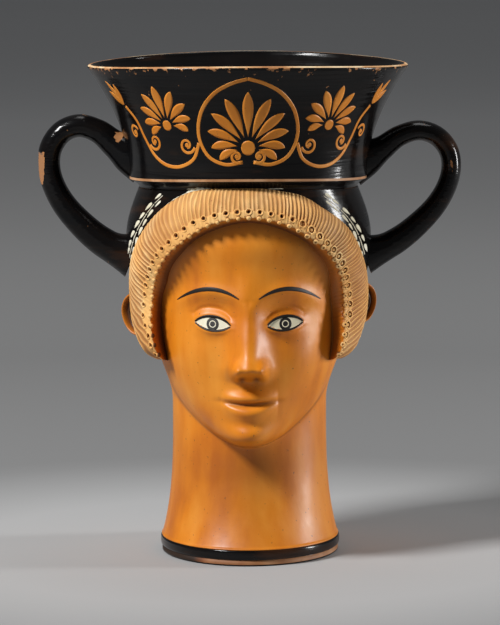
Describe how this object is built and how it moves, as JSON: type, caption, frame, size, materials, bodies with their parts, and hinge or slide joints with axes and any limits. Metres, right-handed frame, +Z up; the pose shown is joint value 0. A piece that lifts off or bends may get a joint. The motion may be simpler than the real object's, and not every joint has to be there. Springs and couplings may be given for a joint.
{
  "type": "head vase",
  "caption": "Two-handled ceramic drinking cup whose lower half is a moulded woman's head on a long neck with an oval foot; flaring black bowl, loop handles, curled hair fringe.",
  "frame": {"origin": "middle of the foot's underside, on the standing plane", "axes": "+Z up, +X to the right hand side of the picture, the face looks along -Y"},
  "size_m": [0.1654, 0.1242, 0.192],
  "materials": {
    "black_gloss": "gloss slip",
    "orange_clay": "burnished",
    "fringe_clay": "matt",
    "bare_clay": "matt"
  },
  "bodies": {
    "root": {"cup_bowl": "black_gloss", "head_front_half": "orange_clay", "head_back_half": "black_gloss", "hair_fringe": "fringe_clay", "curls_outer_row": "fringe_clay", "curls_inner_row": "fringe_clay", "ear_left": "orange_clay", "ear_right": "orange_clay", "handle_left": "black_gloss", "handle_right": "black_gloss", "foot_ring": "black_gloss", "foot_floor": "bare_clay", "seam_coils": "bare_clay", "waist_coil": "bare_clay"}
  },
  "joints": []
}
